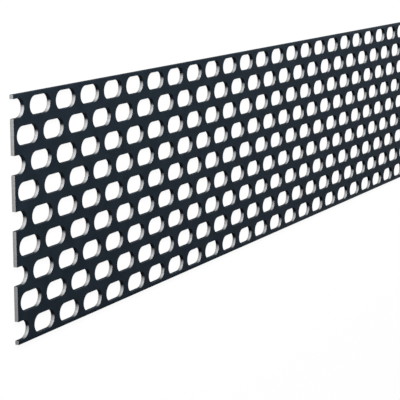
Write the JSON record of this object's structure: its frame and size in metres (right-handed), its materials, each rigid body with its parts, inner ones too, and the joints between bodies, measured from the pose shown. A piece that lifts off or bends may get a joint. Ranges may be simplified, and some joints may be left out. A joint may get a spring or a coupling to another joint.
{
  "type": "ventilation profile",
  "caption": "Flat, thin metal ventilation strip with staggered rows of round-ended slots, which lets air through a gap and keeps vermin out.",
  "frame": {"origin": "centre of the strip's back face, on the surface that it lies on", "axes": "+X along the strip, +Y across its width, +Z out of the front face"},
  "size_m": [0.24, 0.054, 0.001],
  "materials": {
    "coated_sheet": "satin blue-black coating on both faces, the long edges and most of each slot wall, bare metal on the cut ends and on one quarter of each round slot end"
  },
  "bodies": {
    "root": {"ventilation_strip": "coated_sheet"}
  },
  "joints": []
}
